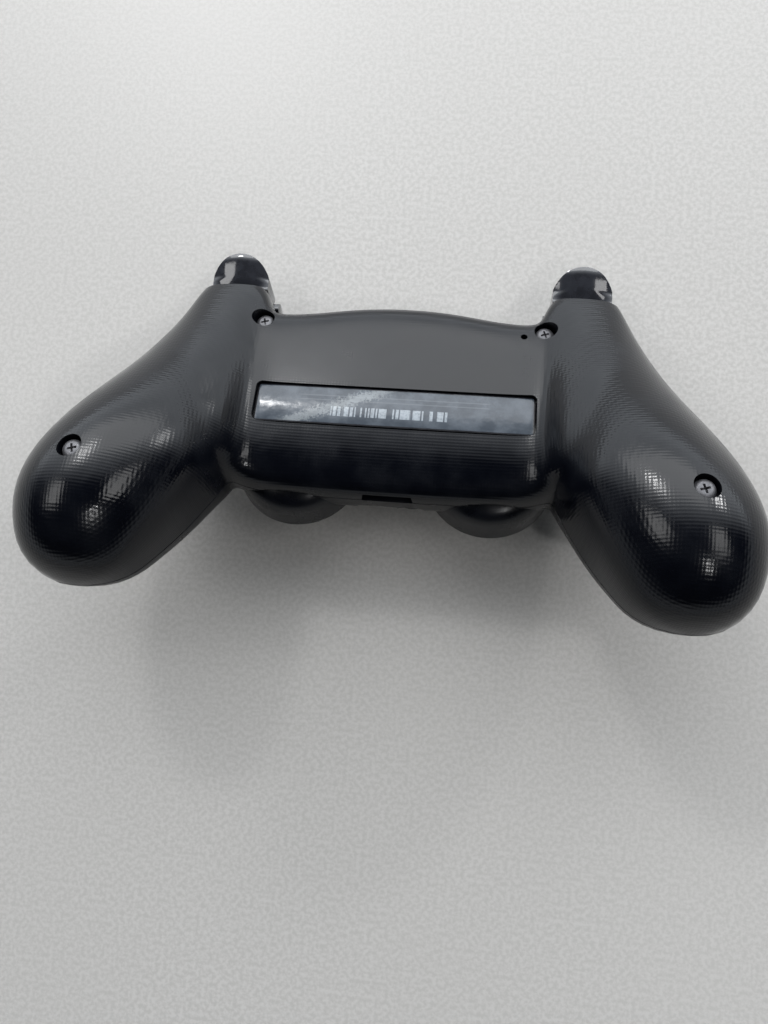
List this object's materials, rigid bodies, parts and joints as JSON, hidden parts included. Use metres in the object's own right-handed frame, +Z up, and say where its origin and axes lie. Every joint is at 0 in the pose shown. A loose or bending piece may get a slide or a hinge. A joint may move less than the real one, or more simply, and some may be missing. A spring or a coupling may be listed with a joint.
{
  "type": "game controller",
  "caption": "Twin-grip wireless game controller lying face down: moulded covers, analogue triggers, shoulder buttons, thumbsticks, D-pad, face buttons and touch surface.",
  "frame": {"origin": "centre of the footprint, on the table, with the controller lying face down on its stick caps and shoulder buttons", "axes": "+X towards the controller's own left (D-pad) end, +Y towards the triggers, +Z up out of the back cover; the controller is pitched 16.7 degrees so its trigger side is lower"},
  "size_m": [0.1634, 0.0906, 0.0608],
  "materials": {
    "shell_black": "black moulded ABS, finely textured satin",
    "gloss_black": "polished black plastic",
    "rubber_black": "soft-touch black rubber",
    "label_film": "dark polyester film, glossy",
    "clear_lens": "milky light-guide acrylic",
    "screw_steel": "black-oxide steel",
    "bright_steel": "bright plated steel",
    "board_green": "green circuit board",
    "battery_wrap": "grey wrapped lithium cell",
    "white_plastic": "natural acetal",
    "brass": "sintered eccentric weight"
  },
  "bodies": {
    "housing": {"back_shell": "shell_black", "front_shell": "shell_black", "left_shoulder_screw": "screw_steel", "left_grip_screw": "screw_steel", "left_trigger_bracket": "white_plastic", "left_trigger_spring": "bright_steel", "left_stick_module": "bright_steel", "left_motor": "bright_steel", "left_trigger_pad": "rubber_black", "left_button_membrane": "rubber_black", "right_shoulder_screw": "screw_steel", "right_grip_screw": "screw_steel", "right_trigger_bracket": "white_plastic", "right_trigger_spring": "bright_steel", "right_stick_module": "bright_steel", "right_motor": "bright_steel", "right_trigger_pad": "rubber_black", "right_button_membrane": "rubber_black", "rating_label": "label_film", "keypad_film": "label_film", "battery_tray": "white_plastic", "main_board": "board_green", "port_board": "board_green", "battery": "battery_wrap", "charge_socket": "bright_steel", "reset_switch": "bright_steel", "extension_port": "rubber_black", "headphone_jack": "rubber_black", "speaker": "rubber_black", "light_bar_lens": "clear_lens"},
    "left_trigger_body": {"left_trigger": "gloss_black"},
    "left_shoulder_body": {"left_shoulder_button": "gloss_black"},
    "left_stick_click_body": {"left_stick_click_lever": "white_plastic"},
    "left_stick_sideways_body": {"left_stick_lower_yoke": "white_plastic"},
    "left_stick_body": {"left_stick_shaft": "bright_steel", "left_stick_cap": "rubber_black"},
    "left_stick_arch_body": {"left_stick_arch_yoke": "white_plastic"},
    "left_menu_body": {"left_menu_button": "shell_black"},
    "left_motor_spin_body": {"left_motor_weight": "brass"},
    "right_trigger_body": {"right_trigger": "gloss_black"},
    "right_shoulder_body": {"right_shoulder_button": "gloss_black"},
    "right_stick_click_body": {"right_stick_click_lever": "white_plastic"},
    "right_stick_sideways_body": {"right_stick_lower_yoke": "white_plastic"},
    "right_stick_body": {"right_stick_shaft": "bright_steel", "right_stick_cap": "rubber_black"},
    "right_stick_arch_body": {"right_stick_arch_yoke": "white_plastic"},
    "right_menu_body": {"right_menu_button": "shell_black"},
    "right_motor_spin_body": {"right_motor_weight": "brass"},
    "d_pad_tilt_body": {"d_pad_pivot_disc": "white_plastic"},
    "d_pad_body": {"d_pad": "shell_black"},
    "north_action_body": {"north_action_button": "gloss_black"},
    "east_action_body": {"east_action_button": "gloss_black"},
    "south_action_body": {"south_action_button": "gloss_black"},
    "west_action_body": {"west_action_button": "gloss_black"},
    "home_body": {"home_button": "shell_black"},
    "touchpad_body": {"touchpad": "shell_black"},
    "reset_body": {"reset_plunger": "white_plastic"}
  },
  "joints": [
    {"name": "left_trigger_pull", "type": "hinge", "parent": "housing", "child": "left_trigger_body", "pos_m": [0.0455, 0.02989, 0.00875], "axis": [1, 0, 0], "range_deg": [0, 13], "stiffness_Nm_per_rad": 0.04, "springref_deg": -5.73},
    {"name": "left_shoulder_press", "type": "slide", "parent": "housing", "child": "left_shoulder_body", "axis": [0, -0.9578, 0.2874], "range_m": [0, 0.0008], "stiffness_N_per_m": 900, "springref_m": -0.001},
    {"name": "left_stick_click", "type": "slide", "parent": "housing", "child": "left_stick_click_body", "axis": [0, 0.2874, 0.9578], "range_m": [0, 0.0004], "stiffness_N_per_m": 4000, "springref_m": -0.0005},
    {"name": "left_stick_up_down", "type": "hinge", "parent": "left_stick_click_body", "child": "left_stick_sideways_body", "pos_m": [0.0245, -0.00942, 0.01867], "axis": [1, 0, 0], "range_deg": [-17, 17], "stiffness_Nm_per_rad": 0.08},
    {"name": "left_stick_left_right", "type": "hinge", "parent": "left_stick_sideways_body", "child": "left_stick_body", "pos_m": [0.0245, -0.00942, 0.01867], "axis": [0, 0.9578, -0.2874], "range_deg": [-17, 17], "stiffness_Nm_per_rad": 0.08},
    {"name": "left_stick_arch_turn", "type": "hinge", "parent": "left_stick_click_body", "child": "left_stick_arch_body", "pos_m": [0.0245, -0.00942, 0.01867], "axis": [0, 0.9578, -0.2874], "range_deg": [-17, 17], "stiffness_Nm_per_rad": 0.004},
    {"name": "left_menu_press", "type": "slide", "parent": "housing", "child": "left_menu_body", "axis": [0, 0.2874, 0.9578], "range_m": [0, 0.0005], "stiffness_N_per_m": 500},
    {"name": "left_motor_spin", "type": "hinge", "parent": "housing", "child": "left_motor_spin_body", "pos_m": [0.054, -0.01709, 0.04185], "axis": [0, 0.9578, -0.2874], "continuous": true},
    {"name": "right_trigger_pull", "type": "hinge", "parent": "housing", "child": "right_trigger_body", "pos_m": [-0.0455, 0.02989, 0.00875], "axis": [1, 0, 0], "range_deg": [0, 13], "stiffness_Nm_per_rad": 0.04, "springref_deg": -5.73},
    {"name": "right_shoulder_press", "type": "slide", "parent": "housing", "child": "right_shoulder_body", "axis": [0, -0.9578, 0.2874], "range_m": [0, 0.0008], "stiffness_N_per_m": 900, "springref_m": -0.001},
    {"name": "right_stick_click", "type": "slide", "parent": "housing", "child": "right_stick_click_body", "axis": [0, 0.2874, 0.9578], "range_m": [0, 0.0004], "stiffness_N_per_m": 4000, "springref_m": -0.0005},
    {"name": "right_stick_up_down", "type": "hinge", "parent": "right_stick_click_body", "child": "right_stick_sideways_body", "pos_m": [-0.0245, -0.00942, 0.01867], "axis": [1, 0, 0], "range_deg": [-17, 17], "stiffness_Nm_per_rad": 0.08},
    {"name": "right_stick_left_right", "type": "hinge", "parent": "right_stick_sideways_body", "child": "right_stick_body", "pos_m": [-0.0245, -0.00942, 0.01867], "axis": [0, 0.9578, -0.2874], "range_deg": [-17, 17], "stiffness_Nm_per_rad": 0.08},
    {"name": "right_stick_arch_turn", "type": "hinge", "parent": "right_stick_click_body", "child": "right_stick_arch_body", "pos_m": [-0.0245, -0.00942, 0.01867], "axis": [0, 0.9578, -0.2874], "range_deg": [-17, 17], "stiffness_Nm_per_rad": 0.004},
    {"name": "right_menu_press", "type": "slide", "parent": "housing", "child": "right_menu_body", "axis": [0, 0.2874, 0.9578], "range_m": [0, 0.0005], "stiffness_N_per_m": 500},
    {"name": "right_motor_spin", "type": "hinge", "parent": "housing", "child": "right_motor_spin_body", "pos_m": [-0.054, -0.01709, 0.04185], "axis": [0, 0.9578, -0.2874], "continuous": true},
    {"name": "d_pad_up_down", "type": "hinge", "parent": "housing", "child": "d_pad_tilt_body", "pos_m": [0.0435, 0.00778, 0.01163], "axis": [1, 0, 0], "range_deg": [-2.5, 2.5], "stiffness_Nm_per_rad": 0.1},
    {"name": "d_pad_left_right", "type": "hinge", "parent": "d_pad_tilt_body", "child": "d_pad_body", "pos_m": [0.0435, 0.00778, 0.01163], "axis": [0, 0.9578, -0.2874], "range_deg": [-2.5, 2.5], "stiffness_Nm_per_rad": 0.1},
    {"name": "north_action_press", "type": "slide", "parent": "housing", "child": "north_action_body", "axis": [0, 0.2874, 0.9578], "range_m": [0, 0.0012], "stiffness_N_per_m": 500},
    {"name": "east_action_press", "type": "slide", "parent": "housing", "child": "east_action_body", "axis": [0, 0.2874, 0.9578], "range_m": [0, 0.0012], "stiffness_N_per_m": 500},
    {"name": "south_action_press", "type": "slide", "parent": "housing", "child": "south_action_body", "axis": [0, 0.2874, 0.9578], "range_m": [0, 0.0012], "stiffness_N_per_m": 500},
    {"name": "west_action_press", "type": "slide", "parent": "housing", "child": "west_action_body", "axis": [0, 0.2874, 0.9578], "range_m": [0, 0.0012], "stiffness_N_per_m": 500},
    {"name": "home_press", "type": "slide", "parent": "housing", "child": "home_body", "axis": [0, 0.2874, 0.9578], "range_m": [0, 0.0005], "stiffness_N_per_m": 500},
    {"name": "touchpad_click", "type": "hinge", "parent": "housing", "child": "touchpad_body", "pos_m": [0, 0.02252, 0.0023], "axis": [-1, 0, 0], "range_deg": [0, 0.8], "stiffness_Nm_per_rad": 2},
    {"name": "reset_press", "type": "slide", "parent": "housing", "child": "reset_body", "axis": [0, -0.2874, -0.9578], "range_m": [0, 0.0002], "stiffness_N_per_m": 800}
  ],
  "couplings": [
    {"joint": "left_stick_arch_turn", "follows": "left_stick_left_right", "ratio": 1},
    {"joint": "right_stick_arch_turn", "follows": "right_stick_left_right", "ratio": 1}
  ]
}
